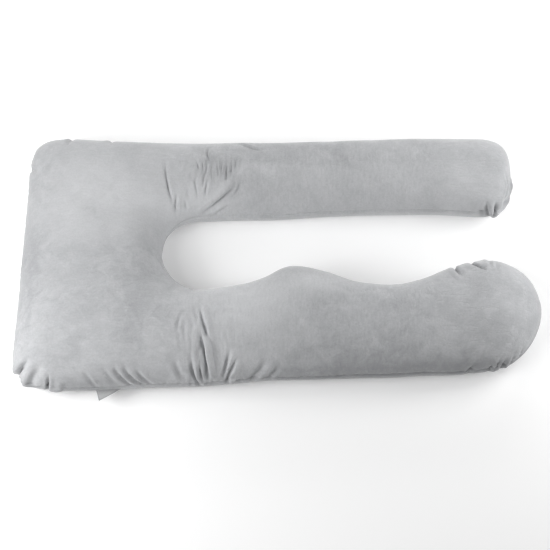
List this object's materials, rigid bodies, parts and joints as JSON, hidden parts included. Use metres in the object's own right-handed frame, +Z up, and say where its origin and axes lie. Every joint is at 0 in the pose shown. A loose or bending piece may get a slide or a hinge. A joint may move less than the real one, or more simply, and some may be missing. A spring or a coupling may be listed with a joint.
{
  "type": "body pillow",
  "caption": "U-shaped plush body pillow lying flat: a wide head, a straight arm and a waved arm, stuffed full, with a small label in its seam.",
  "frame": {"origin": "on the surface that the pillow lies on, under the middle of its bounding box", "axes": "+X from the head along the arms, +Y from the waved arm to the straight one, +Z up"},
  "size_m": [1.3676, 0.7753, 0.1901],
  "materials": {
    "plush": "short grey velvet plush, matt, with a pale sheen at grazing angles",
    "tape": "thin woven grey label tape"
  },
  "bodies": {
    "root": {"pillow": "plush", "label": "tape"}
  },
  "joints": []
}
